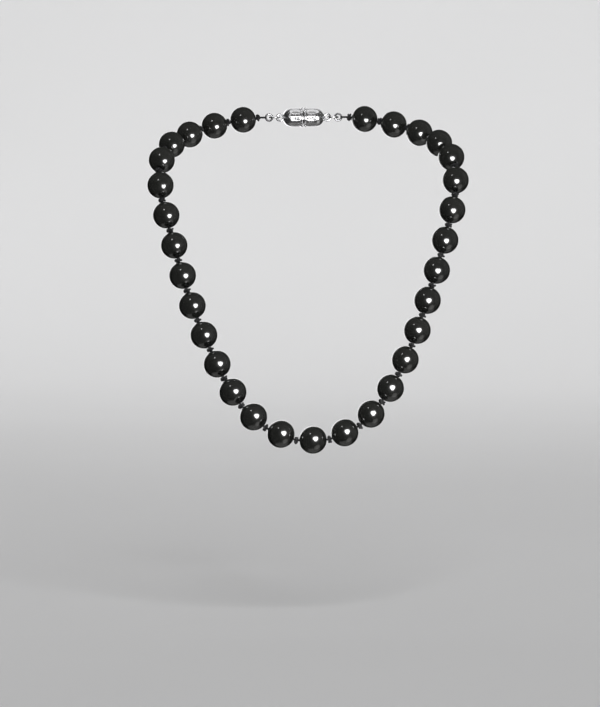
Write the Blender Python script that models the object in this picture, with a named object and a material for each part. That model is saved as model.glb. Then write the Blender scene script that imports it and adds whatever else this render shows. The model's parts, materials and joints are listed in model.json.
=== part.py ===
"""Knotted pearl necklace, as it hangs on a neck.

Drilled pearls on a silk strand with a knot between every two, closed at the nape by a magnetic
barrel clasp. The front is a U that lies on the chest, which leans back. X is to the right, -Y is
the front and +Z is up. The origin is midway between the two shoulder pearls, where the neck holds
the strand. Everything is in metres.

The strand flexes at its knots. The front is modelled as tiers: a left and a right pearl at one
height, with their silk, turn about the line through the left and the right knot above them, so
that the U stays closed when it lifts off the chest. Each tier hangs from the one above. The two
back halves swing out about their shoulder knots and part the clasp.
"""

import math

import bmesh
import bpy
from mathutils import Matrix, Vector

MM = 0.001

# Strand
PEARL_RADIUS = 5.0 * MM
PITCH = 12.1 * MM  # knot to knot, which is also pearl to pearl
HOLE_RADIUS = 0.65 * MM
SILK_RADIUS = 0.4 * MM
KNOT_RADIUS = 1.6 * MM
KNOT_HALF_LENGTH = 0.75 * MM
BARE_START = 1.4 * MM  # a thread's start, from the centre of the knot it turns about
TIERS = 10  # front pearls on each side, between the bottom pearl and the shoulder pearl
SHOULDER = TIERS + 1
BACK_PEARLS = 4  # on each side, between the shoulder pearl and the clasp

# Route of the strand, in millimetres: across, and down along the leaning chest
CHEST_LEAN = math.radians(20)
FRONT_ROUTE = [
    (-54.8, 10.5),
    (-52.2, 21.5),
    (-47.4, 40.0),
    (-41.8, 58.5),
    (-34.0, 77.5),
    (-26.5, 91.8),
    (-18.8, 101.2),
    (-9.0, 107.4),
    (2.2, 109.3),
    (13.5, 106.8),
    (23.4, 99.6),
    (30.8, 88.6),
    (37.8, 74.2),
    (44.4, 55.0),
    (50.3, 35.0),
    (54.2, 18.5),
    (55.7, 8.5),
]
BOTTOM_POINT = 8  # the place in FRONT_ROUTE of the bottom pearl
LEFT_SHOULDER = (-54.2, 3.6, 0.4)
RIGHT_SHOULDER = (54.2, 4.6, 0.4)
NECK_HALF_WIDTH = 53.0 * MM
NECK_DEPTH = 33.4 * MM  # from the shoulders to the nape
NECK_FRONT = 5.0 * MM  # how far behind the origin the shoulders' widest line lies
NAPE_RISE = 16.0 * MM
ARC_ANGLES = [math.radians(a) for a in range(20, 161, 20)]
CURVE_STEPS = 200  # straight steps between two route points

# Clasp, measured along its own axis from the parting plane
PARTING_GAP = 0.15 * MM  # each side
BARREL_RADIUS = 3.5 * MM
BAND_RADIUS = 3.8 * MM
BAND_LENGTH = 0.9 * MM
BARREL_LENGTH = 4.6 * MM  # straight part
SHELL_LENGTH = 8.0 * MM
CAVITY_RADIUS = 2.75 * MM
MAGNET_RADIUS = 2.4 * MM
MAGNET_CHAMFER = 0.25 * MM
LEFT_MAGNET = (1.45 * MM, 4.45 * MM)
RIGHT_MAGNET = (-0.95 * MM, 2.65 * MM)  # stands out of its shell into the left shell
SEAT_GAP = 0.35 * MM  # glue line behind a magnet
EYE_RADIUS = 1.25 * MM  # centre line of an eye or a silk loop
EYE_WIRE = 0.4 * MM
EYE_CENTRE = 9.0 * MM
RING_RADIUS = 2.0 * MM
RING_WIRE = 0.4 * MM
RING_CENTRE = 11.1 * MM
LOOP_CENTRE = 13.2 * MM

# Mesh resolution
PEARL_SIDES = 16
PEARL_BANDS = 8
SILK_SIDES = 8
TURNED_SIDES = 20
TORUS_STEPS = 18
TORUS_SIDES = 8
KNOT_STATIONS = (-1.0, -0.8, -0.4, 0.0, 0.4, 0.8, 1.0)  # along a knot, in half lengths
DOME_ANGLES = [math.radians(a) for a in (75, 55, 35, 15, 0)]  # from the tip to the barrel

# Edges sharper than these stay sharp in the shading, in degrees
SHARP_PEARL = 60
SHARP_TORUS = 80
SHARP_SILK = 50
SHARP_CLASP = 35


def on_chest(across, down):
    """A point of the leaning chest plane, from millimetres."""
    return Vector((across, -down * math.sin(CHEST_LEAN), -down * math.cos(CHEST_LEAN))) * MM


def around_neck(angle):
    """A point of the strand behind the neck; 0 is the right shoulder and pi the left one."""
    return Vector(
        (
            NECK_HALF_WIDTH * math.cos(angle),
            NECK_FRONT + NECK_DEPTH * math.sin(angle),
            NAPE_RISE * math.sin(angle),
        )
    )


def smooth_curve(points):
    """Points of a Catmull-Rom curve through the given ones, with the first and last left off."""
    curve = []
    for a, b, c, d in zip(points, points[1:], points[2:], points[3:]):
        for k in range(CURVE_STEPS):
            t = k / CURVE_STEPS
            curve.append(
                0.5 * (2 * b + (c - a) * t + (2 * a - 5 * b + 4 * c - d) * t**2
                       + (3 * b - a - 3 * c + d) * t**3)
            )
    return curve


def knots_along(line, count):
    """Knot centres: the first half a pitch from the line's start, and then one each pitch."""
    knots = []
    last = line[0]
    reach = PITCH / 2
    for before, point in zip(line, line[1:]):
        if (point - last).length >= reach:
            near = (before - last).length
            far = (point - last).length
            last = before.lerp(point, (reach - near) / (far - near))
            knots.append(last)
            reach = PITCH
            if len(knots) == count:
                return knots
    raise ValueError("the route is too short for its pearls")


def strand_knots():
    """Knot centres of the left and the right half, from the bottom pearl to the clasp."""
    front = [on_chest(*p) for p in FRONT_ROUTE]
    left = front[BOTTOM_POINT::-1] + [Vector(LEFT_SHOULDER) * MM]
    right = front[BOTTOM_POINT:] + [Vector(RIGHT_SHOULDER) * MM]
    left = [front[BOTTOM_POINT + 1]] + left + [around_neck(a) for a in reversed(ARC_ANGLES)]
    right = [front[BOTTOM_POINT - 1]] + right + [around_neck(a) for a in ARC_ANGLES]
    count = SHOULDER + BACK_PEARLS + 1
    return knots_along(smooth_curve(left), count), knots_along(smooth_curve(right), count)


def new_material(name, colour, roughness, metallic):
    """A plain Principled material."""
    material = bpy.data.materials.new(name)
    material.use_nodes = True
    shader = material.node_tree.nodes["Principled BSDF"]
    shader.inputs["Base Color"].default_value = (*colour, 1.0)
    shader.inputs["Roughness"].default_value = roughness
    shader.inputs["Metallic"].default_value = metallic
    return material


def add_pivot(name, place, parent):
    """An empty at a world place, which the pieces of one moving body hang from."""
    pivot = bpy.data.objects.new(name, None)
    pivot.empty_display_size = PEARL_RADIUS
    bpy.context.scene.collection.objects.link(pivot)
    pivot.location = place - world_place(parent)
    pivot.parent = parent
    return pivot


def world_place(pivot):
    """Where a pivot stands in the world; pivots are moved but never turned."""
    place = Vector()
    while pivot is not None:
        place += pivot.location
        pivot = pivot.parent
    return place


def add_piece(name, mesh, material, pivot, place=None, turn=None):
    """A mesh object under a pivot, at a world place with a world rotation."""
    piece = bpy.data.objects.new(name, mesh)
    bpy.context.scene.collection.objects.link(piece)
    piece.parent = pivot
    piece.location = (place or Vector()) - world_place(pivot)
    piece.rotation_mode = "QUATERNION"
    if turn is not None:
        piece.rotation_quaternion = turn
    if not mesh.materials:
        mesh.materials.append(material)
    return piece


def finish_mesh(bm, name, sharp_degrees):
    """A smooth-shaded mesh with its faces pointing out."""
    bmesh.ops.recalc_face_normals(bm, faces=bm.faces)
    mesh = bpy.data.meshes.new(name)
    bm.to_mesh(mesh)
    bm.free()
    mesh.shade_smooth()
    mesh.set_sharp_from_angle(angle=math.radians(sharp_degrees))
    return mesh


def join_rings(bm, rings, closed=False):
    """Walls between rings of vertices; a ring of one vertex is a point."""
    pairs = list(zip(rings, rings[1:]))
    if closed:
        pairs.append((rings[-1], rings[0]))
    for a, b in pairs:
        for k in range(max(len(a), len(b))):
            corners = [a[k % len(a)], a[(k + 1) % len(a)], b[(k + 1) % len(b)], b[k % len(b)]]
            bm.faces.new(dict.fromkeys(corners))


def turned(profile, sides, closed=False):
    """A bmesh turned about X from (along, radius) points."""
    bm = bmesh.new()
    rings = []
    for along, radius in profile:
        if radius == 0:
            rings.append([bm.verts.new((along, 0, 0))])
            continue
        angles = [2 * math.pi * k / sides for k in range(sides)]
        rings.append(
            [bm.verts.new((along, radius * math.cos(a), radius * math.sin(a))) for a in angles]
        )
    join_rings(bm, rings, closed)
    return bm


def pearl_mesh():
    """A drilled pearl, with its hole along X."""
    mouth = math.asin(HOLE_RADIUS / PEARL_RADIUS)
    profile = []
    for k in range(PEARL_BANDS + 1):
        angle = mouth + (math.pi - 2 * mouth) * k / PEARL_BANDS
        profile.append((PEARL_RADIUS * math.cos(angle), PEARL_RADIUS * math.sin(angle)))
    return finish_mesh(turned(profile, PEARL_SIDES, closed=True), "pearl", SHARP_PEARL)


def torus_mesh(radius, wire, name):
    """A plain ring about Z."""
    bm = bmesh.new()
    rings = []
    for k in range(TORUS_STEPS):
        turn = Matrix.Rotation(2 * math.pi * k / TORUS_STEPS, 3, "Z")
        ring = []
        for j in range(TORUS_SIDES):
            a = 2 * math.pi * j / TORUS_SIDES
            point = Vector((radius + wire * math.cos(a), 0, wire * math.sin(a)))
            ring.append(bm.verts.new(turn @ point))
        rings.append(ring)
    join_rings(bm, rings, closed=True)
    return finish_mesh(bm, name, SHARP_TORUS)


def knot_stations(centre, way_in, way_out):
    """(centre, direction, radius) of each ring of a knot, which also turns the silk's direction."""
    stations = []
    for f in KNOT_STATIONS:
        way = way_in.lerp(way_out, (f + 1) / 2).normalized()
        along = way_in if f < 0 else way_out
        radius = max(SILK_RADIUS, KNOT_RADIUS * math.sqrt(1 - f * f))
        stations.append((centre + along * f * KNOT_HALF_LENGTH, way, radius))
    return stations


def silk_mesh(turns, owned, name, tail=None):
    """Silk through the knots at turns, with a knot where owned says; else it stops short there.

    A tail is one more point, where the silk ends past its last knot.
    """
    points = turns + ([tail] if tail else [])
    ways = [(b - a).normalized() for a, b in zip(points, points[1:])]
    stations = []
    for i, (point, has_knot) in enumerate(zip(turns, owned)):
        way_in = ways[max(i - 1, 0)]
        way_out = ways[min(i, len(ways) - 1)]
        if has_knot:
            stations += knot_stations(point, way_in, way_out)
        elif i == 0:
            stations.append((point + way_out * BARE_START, way_out, SILK_RADIUS))
        else:
            stations.append((point - way_in * BARE_START, way_in, SILK_RADIUS))
    if tail:
        stations.append((tail, ways[-1], SILK_RADIUS))
    bm = bmesh.new()
    rings = []
    side = stations[0][1].orthogonal().normalized()
    last_way = stations[0][1]
    for centre, way, radius in stations:
        side = last_way.rotation_difference(way) @ side
        other = way.cross(side)
        last_way = way
        ring = []
        for k in range(SILK_SIDES):
            a = 2 * math.pi * k / SILK_SIDES
            spoke = side * math.cos(a) + other * math.sin(a)
            ring.append(bm.verts.new(centre + spoke * radius))
        rings.append(ring)
    join_rings(bm, rings)
    bm.faces.new(rings[0])
    bm.faces.new(rings[-1])
    return finish_mesh(bm, name, SHARP_SILK)


def shell_mesh(cavity_depth, name):
    """Half of the barrel: a turned cup with a band at its mouth and a domed end."""
    profile = [(SHELL_LENGTH, 0)]
    dome = SHELL_LENGTH - BARREL_LENGTH
    for a in DOME_ANGLES:
        profile.append((BARREL_LENGTH + dome * math.sin(a), BARREL_RADIUS * math.cos(a)))
    profile += [
        (PARTING_GAP + BAND_LENGTH, BARREL_RADIUS),
        (PARTING_GAP + BAND_LENGTH, BAND_RADIUS),
        (PARTING_GAP, BAND_RADIUS),
        (PARTING_GAP, CAVITY_RADIUS),
        (cavity_depth, CAVITY_RADIUS),
        (cavity_depth, 0),
    ]
    return finish_mesh(turned(profile, TURNED_SIDES), name, SHARP_CLASP)


def magnet_mesh(start, end, name):
    """A disc magnet with broken edges."""
    profile = [
        (start, 0),
        (start, MAGNET_RADIUS - MAGNET_CHAMFER),
        (start + MAGNET_CHAMFER, MAGNET_RADIUS),
        (end - MAGNET_CHAMFER, MAGNET_RADIUS),
        (end, MAGNET_RADIUS - MAGNET_CHAMFER),
        (end, 0),
    ]
    return finish_mesh(turned(profile, TURNED_SIDES), name, SHARP_CLASP)


def weld_on(piece, form_mesh, place, turn):
    """Joins a second form to a piece, so that they are one body."""
    form = add_piece(piece.name + "_form", form_mesh, piece.data.materials[0], piece.parent, place, turn)
    form.hide_render = True
    form.display_type = "WIRE"
    weld = piece.modifiers.new("weld", "BOOLEAN")
    weld.operation = "UNION"
    weld.solver = "EXACT"
    weld.object = form


class Strand:
    """Where every knot, every pearl and the clasp are."""

    def __init__(self):
        left, right = strand_knots()
        self.knots = {"left": left, "right": right}
        self.bottom_pearl = (left[0] + right[0]) / 2
        self.clasp_centre = (left[-1] + right[-1]) / 2
        self.clasp_axis = (right[-1] - left[-1]).normalized()

    def pearl(self, side, place):
        """Centre and direction of the pearl that many places up from the bottom one."""
        lower = self.knots[side][place - 1]
        upper = self.knots[side][place]
        return (lower + upper) / 2, (upper - lower).normalized()

    def hinge(self, tier):
        """Middle and direction of a tier's hinge line, which turns forward with the right hand."""
        left = self.knots["left"][tier]
        right = self.knots["right"][tier]
        return (left + right) / 2, (left - right).normalized()

    def clasp_turn(self, side):
        """Rotation of one half of the clasp: X points out along it and Z is up."""
        x = self.clasp_axis if side == "right" else -self.clasp_axis
        y = Vector((0, 0, 1)).cross(x).normalized()
        return Matrix((x, y, x.cross(y))).transposed().to_quaternion()


def pearl_name(side, place):
    """Pearls are numbered along the strand from the left end of the clasp."""
    middle = SHOULDER + BACK_PEARLS + 1
    return f"pearl_{middle - place if side == 'left' else middle + place:02d}"


def add_pearl(mesh, materials, strand, side, place, pivot):
    """One pearl, with its origin at its centre and its X axis along its hole."""
    centre, way = strand.pearl(side, place)
    turn = Vector((1, 0, 0)).rotation_difference(way)
    add_piece(pearl_name(side, place), mesh, materials["pearl"], pivot, centre, turn)


def add_tier(strand, tier, mesh, materials, above):
    """A tier's two pearls and silks, under a pivot on its hinge line."""
    pivot = add_pivot(f"tier_{tier:02d}_pivot", strand.hinge(tier)[0], above)
    for side in ("left", "right"):
        add_pearl(mesh, materials, strand, side, tier, pivot)
        if tier > 1:
            name = f"silk_{side}_{tier:02d}"
            knots = strand.knots[side]
            silk = silk_mesh([knots[tier], knots[tier - 1]], [False, True], name)
            add_piece(name, silk, materials["silk"], pivot)
    return pivot


def add_bottom(strand, mesh, materials, pivot):
    """The lowest pearl, and the silk through it and its two neighbours."""
    place = strand.bottom_pearl
    way = (strand.knots["right"][0] - strand.knots["left"][0]).normalized()
    turn = Vector((1, 0, 0)).rotation_difference(way)
    add_piece(pearl_name("left", 0), mesh, materials["pearl"], pivot, place, turn)
    left = strand.knots["left"]
    right = strand.knots["right"]
    silk = silk_mesh([left[1], left[0], right[0], right[1]], [False, True, True, False], "silk_bottom")
    add_piece("silk_bottom", silk, materials["silk"], pivot)


def add_shoulder(strand, side, mesh, materials, pivot):
    """A shoulder pearl, with a knot above and below it."""
    add_pearl(mesh, materials, strand, side, SHOULDER, pivot)
    knots = strand.knots[side]
    name = f"silk_shoulder_{side}"
    silk = silk_mesh([knots[SHOULDER], knots[SHOULDER - 1]], [True, True], name)
    add_piece(name, silk, materials["silk"], pivot)


def add_back_half(strand, side, mesh, materials, root):
    """The pearls behind the neck, their silk, and one half of the clasp."""
    knots = strand.knots[side]
    pivot = add_pivot(f"back_{side}_pivot", knots[SHOULDER], root)
    for place in range(SHOULDER + 1, SHOULDER + BACK_PEARLS + 1):
        add_pearl(mesh, materials, strand, side, place, pivot)
    centre = strand.clasp_centre
    turn = strand.clasp_turn(side)
    upright = turn @ Matrix.Rotation(math.pi / 2, 3, "X").to_quaternion()
    out = turn @ Vector((1, 0, 0))

    name = f"silk_back_{side}"
    owned = [False] + [True] * BACK_PEARLS
    tail = centre + out * (LOOP_CENTRE + EYE_RADIUS)
    silk = silk_mesh(knots[SHOULDER:], owned, name, tail)
    silk_piece = add_piece(name, silk, materials["silk"], pivot)
    loop = torus_mesh(EYE_RADIUS, EYE_WIRE, name + "_loop")
    weld_on(silk_piece, loop, centre + out * LOOP_CENTRE, upright)

    magnet_span = LEFT_MAGNET if side == "left" else RIGHT_MAGNET
    name = f"clasp_shell_{side}"
    shell = add_piece(
        name, shell_mesh(magnet_span[1] + SEAT_GAP, name), materials["metal"], pivot, centre, turn
    )
    eye = torus_mesh(EYE_RADIUS, EYE_WIRE, name + "_eye")
    weld_on(shell, eye, centre + out * EYE_CENTRE, upright)
    name = f"clasp_magnet_{side}"
    magnet = magnet_mesh(*magnet_span, name)
    add_piece(name, magnet, materials["magnet"], pivot, centre, turn)
    name = f"clasp_ring_{side}"
    ring = torus_mesh(RING_RADIUS, RING_WIRE, name)
    add_piece(name, ring, materials["metal"], pivot, centre + out * RING_CENTRE, turn)


def main():
    """Builds the necklace."""
    for piece in list(bpy.data.objects):
        bpy.data.objects.remove(piece, do_unlink=True)
    materials = {
        "pearl": new_material("black_pearl", (0.018, 0.019, 0.018), 0.12, 0.35),
        "silk": new_material("black_silk", (0.012, 0.012, 0.013), 0.7, 0.0),
        "metal": new_material("rhodium_metal", (0.62, 0.62, 0.64), 0.18, 1.0),
        "magnet": new_material("nickel_magnet", (0.42, 0.42, 0.43), 0.3, 1.0),
    }
    strand = Strand()
    mesh = pearl_mesh()
    root = add_pivot("shoulders_pivot", Vector(), None)
    for side in ("left", "right"):
        add_shoulder(strand, side, mesh, materials, root)
        add_back_half(strand, side, mesh, materials, root)
    pivot = root
    for tier in range(TIERS, 0, -1):
        pivot = add_tier(strand, tier, mesh, materials, pivot)
    add_bottom(strand, mesh, materials, pivot)


main()
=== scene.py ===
"""Looks of the knotted pearl necklace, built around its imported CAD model.

Every piece is modelled in the row frame, in metres: X to the right, -Y to the front, +Z up. The
pearls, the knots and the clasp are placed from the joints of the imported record. Pearls, and knots
between them, are numbered along the strand from the left end of the clasp.
"""

import json
import math
import random

import bpy
import numpy as np
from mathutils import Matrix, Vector, noise

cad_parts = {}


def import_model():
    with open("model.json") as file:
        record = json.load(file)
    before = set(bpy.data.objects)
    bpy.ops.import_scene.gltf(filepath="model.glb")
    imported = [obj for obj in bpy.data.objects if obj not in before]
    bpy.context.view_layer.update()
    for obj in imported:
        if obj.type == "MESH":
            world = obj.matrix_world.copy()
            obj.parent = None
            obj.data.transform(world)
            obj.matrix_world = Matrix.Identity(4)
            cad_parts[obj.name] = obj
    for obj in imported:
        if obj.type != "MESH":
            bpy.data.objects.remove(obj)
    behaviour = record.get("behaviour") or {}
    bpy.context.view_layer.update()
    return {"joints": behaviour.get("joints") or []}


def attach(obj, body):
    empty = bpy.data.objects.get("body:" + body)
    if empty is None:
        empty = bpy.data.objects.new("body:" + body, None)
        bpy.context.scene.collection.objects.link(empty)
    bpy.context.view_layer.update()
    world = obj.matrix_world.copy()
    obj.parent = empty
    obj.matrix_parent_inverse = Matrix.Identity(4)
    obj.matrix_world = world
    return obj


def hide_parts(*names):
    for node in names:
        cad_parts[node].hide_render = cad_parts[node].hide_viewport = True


MM = 0.001

# Strand
PEARLS = 31
BOTTOM = 16  # the lowest pearl
SHOULDERS = (5, 27)
TIERS = 10  # knots that bend between the bottom and each shoulder
PEARL_RADIUS = 5.0 * MM
PITCH = 12.1 * MM

# Pearl surface
HOLE_RADIUS = 0.65 * MM
MOUTH_FILLET = 0.14 * MM
MOUTH_LIP = ((0.02 * MM, 0.06 * MM), (0.08 * MM, 0.01 * MM), (0.20 * MM, 0.0))  # (into it, beyond its wall)
HOLE_STATIONS = (0.6, 0.2)  # shares of the way out from the pearl's middle
PEARL_BANDS = 46
PEARL_SIDES = 64
PEARL_SPREAD = 0.006  # pearls differ in size by up to this share
WOBBLE_SIZES = ((4.2 * MM, 0.034 * MM), (1.9 * MM, 0.006 * MM))  # (spacing, height) of its waves
WOBBLE_SEED = (7.3, 3.1, 1.0)  # how far apart two pearls' waves are drawn

# Silk thread of three plies, and its knots
PLIES = 3
PLY_RADIUS = 0.19 * MM
PLY_OFFSET = 0.21 * MM
PLY_PITCH = 1.9 * MM
PLY_SIDES = 7
THREAD_STEP = 0.14 * MM
KNOT_CORE = 0.40 * MM  # distance of a knot's thread from its axis, at the nearest
KNOT_REACH = 0.36 * MM  # to each side, along the axis
KNOT_STEPS = 84
KNOT_SPREAD = 0.06  # knots differ in size by up to this share

# Clasp, measured along its axis from the parting plane
RING_CENTRE = 11.1 * MM
EYE_CENTRE = 9.0 * MM
LOOP_CENTRE = 13.2 * MM
LOOP_RADIUS = 1.25 * MM
LOOP_STEPS = 90
EYE_WIRE = 0.4 * MM
RING_RADIUS = 2.0 * MM
RING_WIRE = 0.4 * MM
RING_SLIT = math.radians(2.5)
RING_STEPS = 72
WIRE_SIDES = 14
AXIS_GAP = 0.02 * MM  # radius of the small flat cap where a turned profile ends

# Clasp shell
SHELL_SIDES = 120
CAVITY_RADIUS = 2.75 * MM
CAVITY_EDGE = 0.07 * MM
SEAT_GAP = 0.35 * MM
BARREL_RADIUS = 3.5 * MM
BARREL_SPAN = (1.34 * MM, 4.6 * MM)
BARREL_BANDS = 12
DOME_HEIGHT = 3.4 * MM
DOME_ARC = math.radians(76)
DOME_BANDS = 14
FLUTES = 24
FLUTE_DEPTH = 0.13 * MM
FLUTE_SPAN = (1.35 * MM, 4.7 * MM)
FLUTE_FADE = 0.35  # power that keeps the depth full until near the ends
FLUTE_SHARPNESS = 1.5  # power that narrows each flute
FLUTED_FROM = 3.3 * MM  # only what is wider than this is fluted
BEADS = 42
BEAD_RADIUS = 0.19 * MM
BEAD_CIRCLE = 3.6 * MM
BEAD_LINE = 0.60 * MM
BEAD_ROWS = 7
BEAD_SIDES = 10
BEAD_CAP = 0.12  # angle that each flat end of a bead takes up, in radians

# Clasp magnets, (start, end) along the axis, and the gimp
MAGNETS = {"left": (1.45 * MM, 4.45 * MM), "right": (-0.95 * MM, 2.65 * MM)}
MAGNET_RADIUS = 2.4 * MM
MAGNET_EDGE = 0.25 * MM
MAGNET_BEVEL = 0.3  # where its edge's middle point lies, as a share
MAGNET_SIDES = 72
GIMP_WIRE = 0.075 * MM
GIMP_RADIUS = 0.36 * MM
GIMP_PITCH = 0.17 * MM
GIMP_STEP = 0.02 * MM
GIMP_SIDES = 6
GIMP_OPEN = math.radians(24)  # each side of where the silk leaves the loop

# Camera
TARGET = Vector((-0.00248, -0.0259, -0.07150))
CAMERA_DISTANCE = 1.2
CAMERA_RISE = math.radians(3.5)
FOCAL_LENGTH = 167.5
SENSOR_WIDTH = 36.0

# Stage
FLOOR = -0.168
FLOOR_FRONT = -3.0
WALL = 1.6
WALL_TOP = 2.5
STAGE_BEND = 0.6
STAGE_BEND_STEPS = 16
STAGE_HALF_WIDTH = 3.0

# Lamps that show as highlights. The key lamp is three discs side by side, as (name, aside, rise, radius).
LIT_CENTRE = Vector((0.0, -0.025, -0.055))
KEY_PLACE = Vector((0.092, -0.235, -0.050))
KEY_SIDE = (0.92, 0.40)
KEY_LOBES = (("left", -0.030, 0.015, 0.060), ("right", 0.030, 0.015, 0.060), ("low", 0.0, -0.030, 0.056))
KEY_RADIANCE = 8.8
OTHER_LAMPS = (
    # name, place, radius, radiance
    ("small_lamp", (-0.16, -0.26, 0.30), 0.032, 5.6),
    ("rear_key", (-0.10, 0.33, -0.03), 0.15, 1.7),
)
CLASP_CENTRE = (0.0, 0.036, 0.017)
CLASP_LAMPS = (
    ("clasp_top", (0.05, -0.02, 0.40), 0.20, 1.0),
    ("clasp_front", (-0.16, -0.42, 0.10), 0.16, 0.8),
    ("clasp_rear", (0.0, 0.50, 0.12), 0.50, 0.9),
)

# Soft light of the stage
SUN_PLACE = (0.3, -1.0, 1.0)
SUN_STRENGTH = 1.9
SUN_ANGLE = math.radians(35)
SPOT_PLACE = (0.0, 0.35, 1.0)
SPOT_TARGET = (0.0, WALL, 0.15)
SPOT_POWER = 12.0
SPOT_ANGLE = math.radians(95)
SPOT_RADIUS = 0.3

# Surroundings that the object reflects, and the plain backdrop that the camera sees
REFLECTED_LOBES = (
    # direction, cosine where it starts, cosine where it is full, strength
    ((0.0, -1.0, 0.0), -0.65, 0.10, 0.042),
    ((0.90, -0.40, 0.10), -0.10, 0.90, 0.034),
    ((0.97, 0.18, 0.12), 0.70, 0.95, 0.055),
    ((0.08, 0.20, -0.97), 0.79, 0.92, 0.21),
    ((0.52, -0.32, -0.80), 0.91, 0.985, 0.42),
    ((0.0, 0.25, 0.97), 0.20, 0.95, 0.05),
)
REFLECTED_COLOUR = (1.0, 1.0, 0.97, 1.0)
BACKDROP_COLOUR = (0.43, 0.43, 0.435, 1.0)

CHANCE_SEED = 31


def unit(vector):
    """A numpy vector, or rows of them, of length 1."""
    return vector / np.linalg.norm(vector, axis=-1, keepdims=True)


def across(way):
    """A direction at right angles to another."""
    helper = np.array((0.0, 0.0, 1.0)) if abs(way[2]) < 0.9 else np.array((1.0, 0.0, 0.0))
    return unit(np.cross(helper, way))


def carried_sides(path):
    """Two sides at each point of a path, which turn as little as possible from point to point."""
    ways = unit(np.gradient(path, axis=0))
    side = across(ways[0])
    sides = []
    for way in ways:
        side = unit(side - way * (side @ way))
        sides.append(side)
    sides = np.array(sides)
    return sides, np.cross(ways, sides)


def arc_lengths(path):
    """Distance along a path of each of its points."""
    steps = np.linalg.norm(np.diff(path, axis=0), axis=1)
    return np.concatenate(([0.0], np.cumsum(steps)))


def even_path(points, step):
    """A polyline with points at an even step."""
    points = np.asarray(points)
    length = arc_lengths(points)
    count = max(2, int(length[-1] / step) + 1)
    at = np.linspace(0, length[-1], count)
    return np.stack([np.interp(at, length, points[:, k]) for k in range(3)], axis=1)


def helix(path, radius, turn):
    """A path that winds about another, by the angle given at each point."""
    side, other = carried_sides(path)
    return path + radius * (side * np.cos(turn)[:, None] + other * np.sin(turn)[:, None])


class Piece:
    """The mesh of one piece while it is being put together."""

    def __init__(self, name):
        self.name = name
        self.points = []
        self.faces = []
        self.face_slots = []
        self.grain = []
        self.count = 0

    def walls(self, rings, looped=False, grain=None):
        """Walls between rings of points. Looped rings join last to first, others get end caps."""
        rings = np.asarray(rings)
        rows, sides, _ = rings.shape
        base = self.count
        self.points.append(rings.reshape(-1, 3))
        self.count += rows * sides
        if grain is None:
            grain = np.zeros((rows, sides, 3))
        self.grain.append(grain.reshape(-1, 3))
        made = []
        for row in range(rows if looped else rows - 1):
            a = base + row * sides
            b = base + (row + 1) % rows * sides
            for k in range(sides):
                n = (k + 1) % sides
                made.append((a + k, a + n, b + n, b + k))
        if not looped:
            made.append(tuple(base + k for k in reversed(range(sides))))
            made.append(tuple(base + (rows - 1) * sides + k for k in range(sides)))
        self.faces += made
        self.face_slots += [0] * len(made)

    def tube(self, path, radius, sides, start=0.0):
        """A round tube along a path, with the grain of a fibre along it."""
        side, other = carried_sides(path)
        angle = np.linspace(0, 2 * math.pi, sides, endpoint=False)
        ring = side[:, None] * np.cos(angle)[None, :, None] + other[:, None] * np.sin(angle)[None, :, None]
        grain = np.zeros((len(path), sides, 3))
        grain[:, :, 0] = (start + arc_lengths(path))[:, None]
        grain[:, :, 1] = np.cos(angle) * radius
        grain[:, :, 2] = np.sin(angle) * radius
        self.walls(path[:, None] + radius * ring, grain=grain)

    def bead(self, centre):
        """A small bead of the clasp's band."""
        polar = np.linspace(BEAD_CAP, math.pi - BEAD_CAP, BEAD_ROWS)
        angle = np.linspace(0, 2 * math.pi, BEAD_SIDES, endpoint=False)
        ring = np.stack(
            (
                np.sin(polar)[:, None] * np.cos(angle),
                np.sin(polar)[:, None] * np.sin(angle),
                np.repeat(-np.cos(polar)[:, None], BEAD_SIDES, axis=1),
            ),
            axis=-1,
        )
        self.walls(centre + BEAD_RADIUS * ring)

    def finish(self, body, node, slot, *materials):
        """The piece as an object that rides on a body and stands for its CAD node, if it has one."""
        mesh = bpy.data.meshes.new(self.name)
        mesh.from_pydata(np.concatenate(self.points).tolist(), [], self.faces)
        mesh.attributes.new("grain", "FLOAT_VECTOR", "POINT")
        flat = np.concatenate(self.grain).astype(np.float32).ravel()
        mesh.attributes["grain"].data.foreach_set("vector", flat)
        for material in materials:
            mesh.materials.append(material)
        mesh.polygons.foreach_set("material_index", self.face_slots)
        mesh.shade_smooth()
        mesh.set_sharp_from_angle(angle=math.radians(50))
        mesh.validate()
        piece = linked(self.name, mesh)
        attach(piece, body)
        if node:
            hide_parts(node)
        return piece


def linked(name, data):
    """A new object of the scene."""
    made = bpy.data.objects.new(name, data)
    bpy.context.scene.collection.objects.link(made)
    return made


# Materials


def new_material(name, **numbers):
    """A Principled material with these numbers on its own sockets."""
    material = bpy.data.materials.new(name)
    material.use_nodes = True
    tree = material.node_tree
    shader = tree.nodes["Principled BSDF"]
    for socket, value in numbers.items():
        shader.inputs[socket.replace("_", " ")].default_value = value
    return material, tree, shader


def object_place(tree):
    """The socket that lays a texture out by where it is on the object."""
    return tree.nodes.new("ShaderNodeTexCoord").outputs["Object"]


def grain_place(tree):
    """The socket that lays a texture out along a thread, from its mesh's grain."""
    attribute = tree.nodes.new("ShaderNodeAttribute")
    attribute.attribute_name = "grain"
    return attribute.outputs["Vector"]


def scaled(tree, place, factors):
    """The same place with each axis stretched."""
    node = tree.nodes.new("ShaderNodeVectorMath")
    node.operation = "MULTIPLY"
    node.inputs[1].default_value = factors
    tree.links.new(place, node.inputs[0])
    return node.outputs["Vector"]


def noise_map(tree, place, scale, detail=3.0, roughness=0.5, distortion=0.0):
    """A noise texture's number."""
    node = tree.nodes.new("ShaderNodeTexNoise")
    node.inputs["Scale"].default_value = scale
    node.inputs["Detail"].default_value = detail
    node.inputs["Roughness"].default_value = roughness
    node.inputs["Distortion"].default_value = distortion
    tree.links.new(place, node.inputs["Vector"])
    return node.outputs["Fac"]


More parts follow.
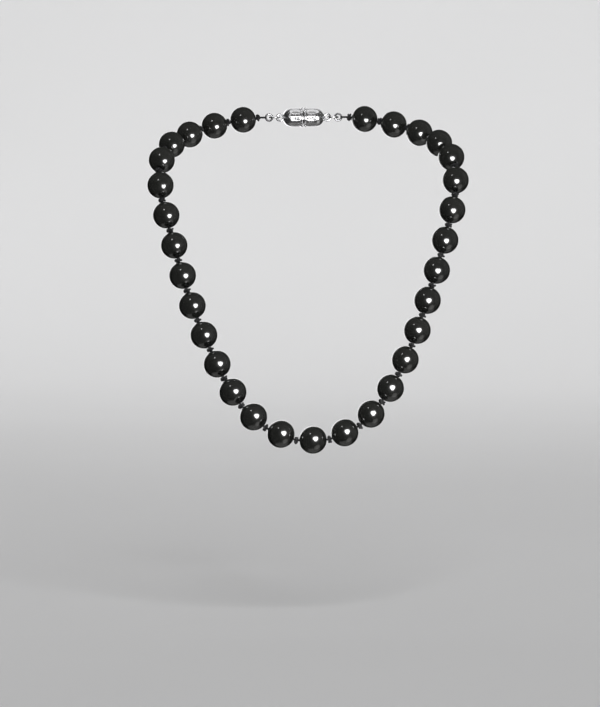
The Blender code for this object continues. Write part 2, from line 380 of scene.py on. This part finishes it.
def ranged(tree, value, low, high, from_low=0.3, from_high=0.7):
    """A number moved from one range to another."""
    node = tree.nodes.new("ShaderNodeMapRange")
    node.inputs["From Min"].default_value = from_low
    node.inputs["From Max"].default_value = from_high
    node.inputs["To Min"].default_value = low
    node.inputs["To Max"].default_value = high
    tree.links.new(value, node.inputs["Value"])
    return node.outputs["Result"]


def ramp(tree, value, *stops):
    """A colour from a number; each stop is (place, colour)."""
    node = tree.nodes.new("ShaderNodeValToRGB")
    elements = node.color_ramp.elements
    while len(elements) < len(stops):
        elements.new(0.5)
    for element, (place, colour) in zip(elements, stops):
        element.position = place
        element.color = (*colour, 1.0)
    tree.links.new(value, node.inputs["Fac"])
    return node.outputs["Color"]


def bumped(tree, shader, height, strength, distance, under=None):
    """Adds relief to a shader, over any relief that is there already."""
    node = tree.nodes.new("ShaderNodeBump")
    node.inputs["Strength"].default_value = strength
    node.inputs["Distance"].default_value = distance
    tree.links.new(height, node.inputs["Height"])
    if under:
        tree.links.new(under, node.inputs["Normal"])
    tree.links.new(node.outputs["Normal"], shader.inputs["Normal"])
    return node.outputs["Normal"]


def nacre():
    """Near-black nacre: a clear glossy skin over a body that drifts between grey and olive."""
    material, tree, shader = new_material(
        "black_nacre", IOR=1.5, Specular_IOR_Level=0.25, Coat_Weight=1.0, Coat_Roughness=0.045, Coat_IOR=2.0
    )
    place = object_place(tree)
    cloud = noise_map(tree, place, scale=190.0, detail=4.0, roughness=0.55, distortion=0.6)
    colour = ramp(
        tree,
        cloud,
        (0.30, (0.0108, 0.0116, 0.0102)),
        (0.50, (0.0148, 0.0156, 0.0137)),
        (0.72, (0.0200, 0.0204, 0.0184)),
    )
    tree.links.new(colour, shader.inputs["Base Color"])
    skin = noise_map(tree, place, scale=900.0, detail=5.0, roughness=0.6)
    tree.links.new(ranged(tree, skin, 0.26, 0.40), shader.inputs["Roughness"])
    growth = noise_map(tree, place, scale=950.0, detail=1.0, roughness=0.4, distortion=0.8)
    relief = bumped(tree, shader, growth, 0.4, 0.007 * MM)
    spots = noise_map(tree, place, scale=420.0, detail=2.0, roughness=0.4)
    pits = ranged(tree, spots, 1.0, 0.0, from_low=0.66, from_high=0.74)
    relief = bumped(tree, shader, pits, 0.5, 0.012 * MM, relief)
    tree.links.new(relief, shader.inputs["Coat Normal"])
    return material


def drilled_core():
    """The matt shell bead that shows in a drill hole."""
    material, tree, shader = new_material("drilled_core", Specular_IOR_Level=0.3)
    dust = noise_map(tree, object_place(tree), scale=6000.0, detail=4.0, roughness=0.6)
    colour = ramp(tree, dust, (0.3, (0.035, 0.031, 0.026)), (0.7, (0.09, 0.082, 0.07)))
    tree.links.new(colour, shader.inputs["Base Color"])
    tree.links.new(ranged(tree, dust, 0.7, 0.95), shader.inputs["Roughness"])
    bumped(tree, shader, dust, 0.4, 0.02 * MM)
    return material


def silk():
    """Black silk, with its fibres along each ply."""
    material, tree, shader = new_material(
        "black_silk", Specular_IOR_Level=0.45, Sheen_Weight=0.35, Sheen_Roughness=0.4
    )
    shader.inputs["Sheen Tint"].default_value = (0.55, 0.56, 0.6, 1.0)
    place = scaled(tree, grain_place(tree), (0.09, 1.0, 1.0))
    fibre = noise_map(tree, place, scale=17000.0, detail=3.0, roughness=0.6)
    colour = ramp(tree, fibre, (0.3, (0.0075, 0.0075, 0.009)), (0.7, (0.030, 0.030, 0.033)))
    tree.links.new(colour, shader.inputs["Base Color"])
    tree.links.new(ranged(tree, fibre, 0.42, 0.66), shader.inputs["Roughness"])
    bumped(tree, shader, fibre, 0.8, 0.03 * MM)
    return material


def rhodium():
    """Rhodium plate over silver, polished, with fine handling scratches."""
    material, tree, shader = new_material("rhodium_plate", Metallic=1.0)
    place = object_place(tree)
    tone = noise_map(tree, place, scale=700.0, detail=3.0, roughness=0.5)
    colour = ramp(tree, tone, (0.3, (0.60, 0.60, 0.62)), (0.7, (0.72, 0.72, 0.73)))
    tree.links.new(colour, shader.inputs["Base Color"])
    wiped = scaled(tree, place, (1.0, 4.0, 9.0))
    smear = noise_map(tree, wiped, scale=1100.0, detail=5.0, roughness=0.65, distortion=0.4)
    tree.links.new(ranged(tree, smear, 0.13, 0.30), shader.inputs["Roughness"])
    scraped = scaled(tree, place, (1.0, 14.0, 25.0))
    scratches = noise_map(tree, scraped, scale=900.0, detail=4.0, roughness=0.7)
    bumped(tree, shader, scratches, 0.25, 0.006 * MM)
    return material


def nickel():
    """Nickel plate on a pressed magnet: satin, with a pebbled face."""
    material, tree, shader = new_material("nickel_plate", Metallic=1.0)
    place = object_place(tree)
    tone = noise_map(tree, place, scale=1300.0, detail=4.0, roughness=0.6)
    colour = ramp(tree, tone, (0.3, (0.36, 0.35, 0.33)), (0.7, (0.50, 0.49, 0.46)))
    tree.links.new(colour, shader.inputs["Base Color"])
    tree.links.new(ranged(tree, tone, 0.26, 0.42), shader.inputs["Roughness"])
    pebbles = noise_map(tree, place, scale=5200.0, detail=3.0, roughness=0.5)
    bumped(tree, shader, pebbles, 0.5, 0.01 * MM)
    return material


def stage_paint():
    """Matt pale paint of the floor and the backdrop."""
    material, tree, shader = new_material("stage_paint", Roughness=0.9, Specular_IOR_Level=0.0)
    tone = noise_map(tree, object_place(tree), scale=3.0, detail=2.0, roughness=0.5)
    colour = ramp(tree, tone, (0.3, (0.78, 0.78, 0.785)), (0.7, (0.80, 0.80, 0.805)))
    tree.links.new(colour, shader.inputs["Base Color"])
    return material


# Where things are


def joint_line(joints, name):
    """A joint's place and axis."""
    joint = joints[name]
    return np.array(joint["pos_m"]), unit(np.array(joint["axis"], float))


class Strand:
    """Pearl centres and knot centres, by number, with the strand's direction through each pearl."""

    def __init__(self, joints):
        self.pearls = {}
        self.ways = {}
        for n in range(1, PEARLS + 1):
            place, axis = joint_line(joints, f"pearl_{n:02d}_turn")
            self.pearls[n] = place
            self.ways[n] = axis if n >= BOTTOM else -axis
        half = PITCH / 2
        self.knots = {n: self.pearls[n] + self.ways[n] * half for n in self.pearls}
        self.knots[0] = self.pearls[1] - self.ways[1] * half


def clasp_frame(joints, side):
    """Centre of the clasp and one half's own axes, as rows: out along it, across, up."""
    ring, out = joint_line(joints, f"ring_rock_{side}")
    y = unit(np.cross((0.0, 0.0, 1.0), out))
    return ring - out * RING_CENTRE, np.array((out, y, np.cross(out, y)))


# Pearls


def pearl_profile():
    """(along, from the axis, on the outer surface) points of a drilled pearl's closed profile."""
    first = math.asin((HOLE_RADIUS + MOUTH_FILLET) / PEARL_RADIUS)
    profile = []
    for k in range(PEARL_BANDS + 1):
        angle = first + (math.pi - 2 * first) * k / PEARL_BANDS
        profile.append((PEARL_RADIUS * math.cos(angle), PEARL_RADIUS * math.sin(angle), True))
    mouth = PEARL_RADIUS * math.cos(first)
    lip = [(mouth - depth, HOLE_RADIUS + beyond) for depth, beyond in MOUTH_LIP]
    wall = [(mouth * share, HOLE_RADIUS) for share in HOLE_STATIONS]
    inner = lip + wall
    profile += [(-along, radius, False) for along, radius in inner]
    profile += [(along, radius, False) for along, radius in reversed(inner)]
    return profile


def wobble(point, seed):
    """How far a pearl's surface stands out at a point, from slow seeded waves."""
    shift = Vector([seed * step for step in WOBBLE_SEED])
    height = 0.0
    for spacing, size in WOBBLE_SIZES:
        height += size * noise.noise(Vector(point) / spacing + shift)
    return height


def pearl_rings(number, strand, profile, spin, size):
    """The profile turned about the strand, with its outer surface a little uneven."""
    centre = strand.pearls[number]
    way = strand.ways[number]
    side = across(way)
    other = np.cross(way, side)
    rings = []
    for along, radius, outer in profile:
        ring = []
        for k in range(PEARL_SIDES):
            angle = spin + 2 * math.pi * k / PEARL_SIDES
            point = way * along + (side * math.cos(angle) + other * math.sin(angle)) * radius
            if outer:
                point = point * size * (1 + wobble(point, number) / PEARL_RADIUS)
            ring.append(centre + point)
        rings.append(ring)
    return np.array(rings)


def make_pearl(number, strand, materials, chance):
    """One pearl, with its drilled hole along the strand."""
    name = f"pearl_{number:02d}"
    spin = chance.uniform(0, 2 * math.pi)
    size = 1.0 - chance.uniform(0.0, PEARL_SPREAD)
    profile = pearl_profile()
    piece = Piece(f"{name}_nacre")
    piece.walls(pearl_rings(number, strand, profile, spin, size), looped=True)
    # the rows of faces that show the core: the hole's wall, short of the stretch by its last mouth
    first_row = PEARL_BANDS + len(MOUTH_LIP)
    last_row = len(profile) - len(MOUTH_LIP) - 1
    for face in range(first_row * PEARL_SIDES, last_row * PEARL_SIDES):
        piece.face_slots[face] = 1
    piece.finish(name, name, "pearl", materials["nacre"], materials["core"])


# Silk


def add_thread(piece, path, start=0.0):
    """Three plies twisted along a path."""
    length = arc_lengths(path)
    for k in range(PLIES):
        turn = 2 * math.pi * ((start + length) / PLY_PITCH + k / PLIES)
        piece.tube(helix(path, PLY_OFFSET, turn), PLY_RADIUS, PLY_SIDES, start=start + k * PITCH)


def add_knot(piece, centre, way, chance):
    """A tight overhand knot about the thread."""
    side = across(way)
    other = np.cross(way, side)
    spin = chance.uniform(0, 2 * math.pi)
    size = 1 - chance.uniform(0, KNOT_SPREAD)
    t = np.linspace(math.pi / 3, 7 * math.pi / 3, KNOT_STEPS)
    out = KNOT_CORE * size * (2 + np.cos(3 * t))
    turn = 2 * t + spin
    path = (
        centre
        + way * (KNOT_REACH * np.sin(3 * t))[:, None]
        + side * (out * np.cos(turn))[:, None]
        + other * (out * np.sin(turn))[:, None]
    )
    add_thread(piece, path, chance.uniform(0, PLY_PITCH))


def silk_piece(name, strand, span, owned, chance, tail=()):
    """Silk through the knots numbered in span and on to its tail, with the knots that it owns.

    A knot it doesn't own is the one it turns about, so the thread starts at that knot's centre.
    """
    piece = Piece(f"{name}_thread")
    points = [strand.knots[n] for n in span] + list(tail)
    add_thread(piece, even_path(points, THREAD_STEP))
    for n in owned:
        way = strand.ways[max(n, 1)] + strand.ways[min(n + 1, PEARLS)]
        add_knot(piece, strand.knots[n], unit(way), chance)
    return piece


def front_silks(strand, material, chance):
    """The silk of the shoulders, of each tier below them, and of the bottom."""

    def add(name, body, span, owned):
        silk_piece(name, strand, span, owned, chance).finish(body, name, "silk", material)

    left, right = SHOULDERS
    add("silk_shoulder_left", "shoulders", (left - 1, left), (left - 1, left))
    add("silk_shoulder_right", "shoulders", (right - 1, right), (right - 1, right))
    for tier in range(2, TIERS + 1):
        body = f"tier_{tier:02d}"
        low, high = BOTTOM - tier, BOTTOM + tier
        add(f"silk_left_{tier:02d}", body, (low - 1, low), (low,))
        add(f"silk_right_{tier:02d}", body, (high, high - 1), (high - 1,))
    span = range(BOTTOM - 2, BOTTOM + 2)
    add("silk_bottom", "tier_01", span, span[1:-1])


def back_silks(strand, joints, material, chance):
    """The silk behind the neck, from each shoulder to its loop at the clasp."""
    left, right = SHOULDERS
    for side, span in (("left", range(left - 1, -1, -1)), ("right", range(right, PEARLS + 1))):
        name = f"silk_back_{side}"
        centre, axes = clasp_frame(joints, side)
        tail = centre + axes[0] * (LOOP_CENTRE + LOOP_RADIUS)
        piece = silk_piece(name, strand, span, span[1:], chance, (tail,))
        add_thread(piece, loop_path(centre, axes, 0.0))
        piece.finish(f"back_{side}", name, "silk", material)


def loop_path(centre, axes, opening):
    """The silk's loop through a jump ring, upright, starting and ending at its outer side."""
    out, _, up = axes
    turn = np.linspace(opening, 2 * math.pi - opening, LOOP_STEPS)
    ring = out * np.cos(turn)[:, None] + up * np.sin(turn)[:, None]
    return centre + out * LOOP_CENTRE + LOOP_RADIUS * ring


# Clasp


def in_metres(outline):
    """An outline that is written in millimetres."""
    return [(along * MM, radius * MM) for along, radius in outline]


def band_profile():
    """The rim of a half: a lip, the channel that holds the beads, a second lip and a groove."""
    first_lip = [(0.15, 3.68), (0.18, 3.76), (0.26, 3.80), (0.36, 3.80)]
    channel = [(0.42, 3.62), (0.78, 3.62)]
    second_lip = [(0.84, 3.80), (0.96, 3.80), (1.03, 3.75), (1.05, 3.66)]
    groove = [(1.08, 3.46), (1.16, 3.42), (1.26, 3.46), (1.34, 3.50)]
    return in_metres(first_lip + channel + second_lip + groove)


def shell_profile(side):
    """(along, from the axis) points of a half from its cavity, round its rim, to its tip."""
    seat = MAGNETS[side][1] + SEAT_GAP
    cavity = [
        (seat, AXIS_GAP),
        (seat, CAVITY_RADIUS - CAVITY_EDGE),
        (seat - CAVITY_EDGE, CAVITY_RADIUS),
        (0.28 * MM, CAVITY_RADIUS),
        (0.15 * MM, 2.9 * MM),
    ]
    start, end = BARREL_SPAN
    barrel = [(start + (end - start) * k / BARREL_BANDS, BARREL_RADIUS) for k in range(1, BARREL_BANDS + 1)]
    dome = []
    for k in range(1, DOME_BANDS + 1):
        angle = DOME_ARC * k / DOME_BANDS
        dome.append((end + DOME_HEIGHT * math.sin(angle), BARREL_RADIUS * math.cos(angle)))
    tip = in_metres([(7.93, 0.80), (8.02, 0.72), (8.12, 0.60), (8.16, 0.35), (8.17, 0.02)])
    return cavity + band_profile() + barrel + dome + tip


def magnet_profile(side):
    """(along, from the axis) points of a disc with rounded edges."""
    start, end = MAGNETS[side]
    bevel = MAGNET_EDGE * MAGNET_BEVEL
    return [
        (start, AXIS_GAP),
        (start, MAGNET_RADIUS - MAGNET_EDGE),
        (start + bevel, MAGNET_RADIUS - bevel),
        (start + MAGNET_EDGE, MAGNET_RADIUS),
        (end - MAGNET_EDGE, MAGNET_RADIUS),
        (end - bevel, MAGNET_RADIUS - bevel),
        (end, MAGNET_RADIUS - MAGNET_EDGE),
        (end, AXIS_GAP),
    ]


def no_relief(along, radius, angle):
    """A smooth turned surface."""
    return 0.0


def flute(along, radius, angle):
    """How deep a flute is at a place on the barrel."""
    start, end = FLUTE_SPAN
    share = min(max((along - start) / (end - start), 0.0), 1.0)
    if radius <= FLUTED_FROM or not 0 < share < 1:
        return 0.0
    fade = math.sin(math.pi * share) ** FLUTE_FADE
    return FLUTE_DEPTH * fade * abs(math.cos(FLUTES * angle / 2)) ** FLUTE_SHARPNESS


def turned(profile, centre, axes, sides, relief=no_relief):
    """Rings of a profile turned about a clasp half's axis."""
    out, across_way, up = axes
    rings = []
    for along, radius in profile:
        ring = []
        for k in range(sides):
            angle = 2 * math.pi * k / sides
            reach = radius - relief(along, radius, angle)
            ring.append(centre + out * along + (across_way * math.cos(angle) + up * math.sin(angle)) * reach)
        rings.append(ring)
    return np.array(rings)


def ring_path(centre, side, other, radius, slit=0.0):
    """A circle, or one with a slit at its start."""
    turn = np.linspace(slit, 2 * math.pi - slit, RING_STEPS)
    return centre + radius * (side * np.cos(turn)[:, None] + other * np.sin(turn)[:, None])


def make_shell(side, centre, axes, metal):
    """Half of the barrel, with its beaded band and its eye."""
    out, across_way, up = axes
    shell = Piece(f"clasp_barrel_{side}")
    shell.walls(turned(shell_profile(side), centre, axes, SHELL_SIDES, flute))
    for k in range(BEADS):
        angle = 2 * math.pi * k / BEADS
        spoke = across_way * math.cos(angle) + up * math.sin(angle)
        shell.bead(centre + out * BEAD_LINE + spoke * BEAD_CIRCLE)
    shell.tube(ring_path(centre + out * EYE_CENTRE, out, up, LOOP_RADIUS), EYE_WIRE, WIRE_SIDES)
    return shell.finish(f"back_{side}", f"clasp_shell_{side}", "metal", metal)


def make_magnet(side, centre, axes, plate):
    """The magnet of one half."""
    magnet = Piece(f"clasp_disc_{side}")
    magnet.walls(turned(magnet_profile(side), centre, axes, MAGNET_SIDES))
    magnet.finish(f"back_{side}", f"clasp_magnet_{side}", "magnet", plate)


def make_jump_ring(side, centre, axes, metal):
    """The ring that joins the eye to the silk's loop."""
    out, across_way, _ = axes
    path = ring_path(centre + out * RING_CENTRE, across_way, out, RING_RADIUS, RING_SLIT)
    ring = Piece(f"clasp_jump_{side}")
    ring.tube(path, RING_WIRE, WIRE_SIDES)
    return ring.finish(f"ring_{side}", f"clasp_ring_{side}", "metal", metal)


def make_gimp(side, centre, axes, metal):
    """The fine wire coil that guards the silk's loop."""
    path = even_path(loop_path(centre, axes, GIMP_OPEN), GIMP_STEP)
    turn = 2 * math.pi * arc_lengths(path) / GIMP_PITCH
    gimp = Piece(f"clasp_gimp_{side}")
    gimp.tube(helix(path, GIMP_RADIUS, turn), GIMP_WIRE, GIMP_SIDES)
    return gimp.finish(f"back_{side}", None, "metal", metal)


def make_clasp(side, joints, materials):
    """One half of the clasp; returns its pieces of polished metal."""
    centre, axes = clasp_frame(joints, side)
    metal = materials["rhodium"]
    shell = make_shell(side, centre, axes, metal)
    make_magnet(side, centre, axes, materials["nickel"])
    ring = make_jump_ring(side, centre, axes, metal)
    gimp = make_gimp(side, centre, axes, metal)
    return [shell, ring, gimp]


# Stage


def aimed(obj, target):
    """Turns a light or camera towards a point."""
    way = Vector(target) - obj.location
    obj.rotation_mode = "QUATERNION"
    obj.rotation_quaternion = way.to_track_quat("-Z", "Y")


def add_lamp(name, kind, place, target):
    """A lamp aimed at a point, with its light, whose settings are still to be made."""
    light = bpy.data.lights.new(name, kind)
    lamp = linked(name, light)
    lamp.location = place
    aimed(lamp, target)
    return lamp, light


def add_disc_lamp(name, place, target, radius, radiance):
    """A round lamp that only shows as a highlight."""
    lamp, light = add_lamp(name, "AREA", place, target)
    light.shape = "DISK"
    light.size = 2 * radius
    light.energy = radiance * math.pi * math.pi * radius**2
    lamp.visible_camera = False
    lamp.visible_diffuse = False
    return lamp


def add_pearl_lamps():
    """The key lamp's three discs, a small lamp above, and one behind."""
    along_x, along_y = KEY_SIDE
    for name, aside, rise, radius in KEY_LOBES:
        place = KEY_PLACE + Vector((aside * along_x, aside * along_y, rise))
        add_disc_lamp(f"key_{name}", place, LIT_CENTRE, radius, KEY_RADIANCE)
    for name, place, radius, radiance in OTHER_LAMPS:
        add_disc_lamp(name, place, LIT_CENTRE, radius, radiance)


def add_stage_lamps():
    """Soft light on the floor and the backdrop that the object doesn't reflect."""
    lamp, sun = add_lamp("stage_sun", "SUN", SUN_PLACE, (0.0, 0.0, 0.0))
    sun.energy = SUN_STRENGTH
    sun.angle = SUN_ANGLE
    lamp.visible_glossy = False

    lamp, spot = add_lamp("wall_spot", "SPOT", SPOT_PLACE, SPOT_TARGET)
    spot.energy = SPOT_POWER
    spot.spot_size = SPOT_ANGLE
    spot.spot_blend = 1.0
    spot.shadow_soft_size = SPOT_RADIUS
    lamp.visible_glossy = False
    lamp.visible_camera = False


def add_clasp_lamps(pieces):
    """Broad lamps that only the clasp reflects, so that its polished metal shows as silver."""
    metal = bpy.data.collections.new("clasp_metal")
    for piece in pieces:
        metal.objects.link(piece)
    for name, place, radius, radiance in CLASP_LAMPS:
        lamp = add_disc_lamp(name, place, CLASP_CENTRE, radius, radiance)
        lamp.light_linking.receiver_collection = metal


def add_stage(paint):
    """A floor that curves up into a backdrop well behind the object."""
    foot = WALL - STAGE_BEND
    outline = [(FLOOR_FRONT, FLOOR), (foot, FLOOR)]
    for k in range(1, STAGE_BEND_STEPS + 1):
        angle = math.pi / 2 * k / STAGE_BEND_STEPS
        rise = FLOOR + STAGE_BEND - STAGE_BEND * math.cos(angle)
        outline.append((foot + STAGE_BEND * math.sin(angle), rise))
    outline.append((WALL, WALL_TOP))
    points = [(x, y, z) for y, z in outline for x in (-STAGE_HALF_WIDTH, STAGE_HALF_WIDTH)]
    faces = [(2 * k, 2 * k + 1, 2 * k + 3, 2 * k + 2) for k in range(len(outline) - 1)]
    mesh = bpy.data.meshes.new("stage_sweep")
    mesh.from_pydata(points, [], faces)
    mesh.shade_smooth()
    mesh.materials.append(paint)
    sweep = linked("stage_sweep", mesh)
    sweep.visible_glossy = False


def world_lobe(tree, way, direction, start, full, strength):
    """A soft patch of light in one direction of the world."""
    dot = tree.nodes.new("ShaderNodeVectorMath")
    dot.operation = "DOT_PRODUCT"
    dot.inputs[1].default_value = Vector(direction).normalized()
    tree.links.new(way, dot.inputs[0])
    lobe = tree.nodes.new("ShaderNodeMapRange")
    lobe.interpolation_type = "SMOOTHSTEP"
    lobe.inputs["From Min"].default_value = start
    lobe.inputs["From Max"].default_value = full
    lobe.inputs["To Max"].default_value = strength
    tree.links.new(dot.outputs["Value"], lobe.inputs["Value"])
    return lobe.outputs["Result"]


def summed(tree, values):
    """One socket with the sum of several."""
    total = values[0]
    for value in values[1:]:
        add = tree.nodes.new("ShaderNodeMath")
        tree.links.new(total, add.inputs[0])
        tree.links.new(value, add.inputs[1])
        total = add.outputs["Value"]
    return total


def background(tree, colour):
    """A world background of one colour."""
    node = tree.nodes.new("ShaderNodeBackground")
    node.inputs["Color"].default_value = colour
    return node


def add_surroundings():
    """A pale world to the camera, and dim soft surroundings for the object to reflect."""
    world = bpy.data.worlds.new("studio")
    bpy.context.scene.world = world
    world.use_nodes = True
    tree = world.node_tree
    tree.nodes.clear()
    way = tree.nodes.new("ShaderNodeTexCoord").outputs["Generated"]
    lobes = [world_lobe(tree, way, *lobe) for lobe in REFLECTED_LOBES]
    dim = background(tree, REFLECTED_COLOUR)
    tree.links.new(summed(tree, lobes), dim.inputs["Strength"])
    pale = background(tree, BACKDROP_COLOUR)
    mix = tree.nodes.new("ShaderNodeMixShader")
    path = tree.nodes.new("ShaderNodeLightPath")
    tree.links.new(path.outputs["Is Camera Ray"], mix.inputs["Fac"])
    tree.links.new(dim.outputs[0], mix.inputs[1])
    tree.links.new(pale.outputs[0], mix.inputs[2])
    output = tree.nodes.new("ShaderNodeOutputWorld")
    tree.links.new(mix.outputs[0], output.inputs["Surface"])


def add_camera():
    """A long lens, a little above the middle of the strand."""
    data = bpy.data.cameras.new("camera")
    data.lens = FOCAL_LENGTH
    data.sensor_width = SENSOR_WIDTH
    camera = linked("camera", data)
    back = Vector((0.0, -math.cos(CAMERA_RISE), math.sin(CAMERA_RISE)))
    camera.location = TARGET + back * CAMERA_DISTANCE
    aimed(camera, TARGET)
    bpy.context.scene.camera = camera


def main():
    """Builds the necklace's looks and the stage around the frame."""
    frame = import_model()
    joints = {joint["name"]: joint for joint in frame["joints"]}
    chance = random.Random(CHANCE_SEED)
    add_camera()
    materials = {
        "nacre": nacre(),
        "core": drilled_core(),
        "silk": silk(),
        "rhodium": rhodium(),
        "nickel": nickel(),
    }
    strand = Strand(joints)
    for number in range(1, PEARLS + 1):
        make_pearl(number, strand, materials, chance)
    front_silks(strand, materials["silk"], chance)
    back_silks(strand, joints, materials["silk"], chance)
    metal = []
    for side in ("left", "right"):
        metal += make_clasp(side, joints, materials)
    add_stage(stage_paint())
    add_pearl_lamps()
    add_stage_lamps()
    add_clasp_lamps(metal)
    add_surroundings()
    bpy.context.scene.view_settings.view_transform = "Standard"


main()
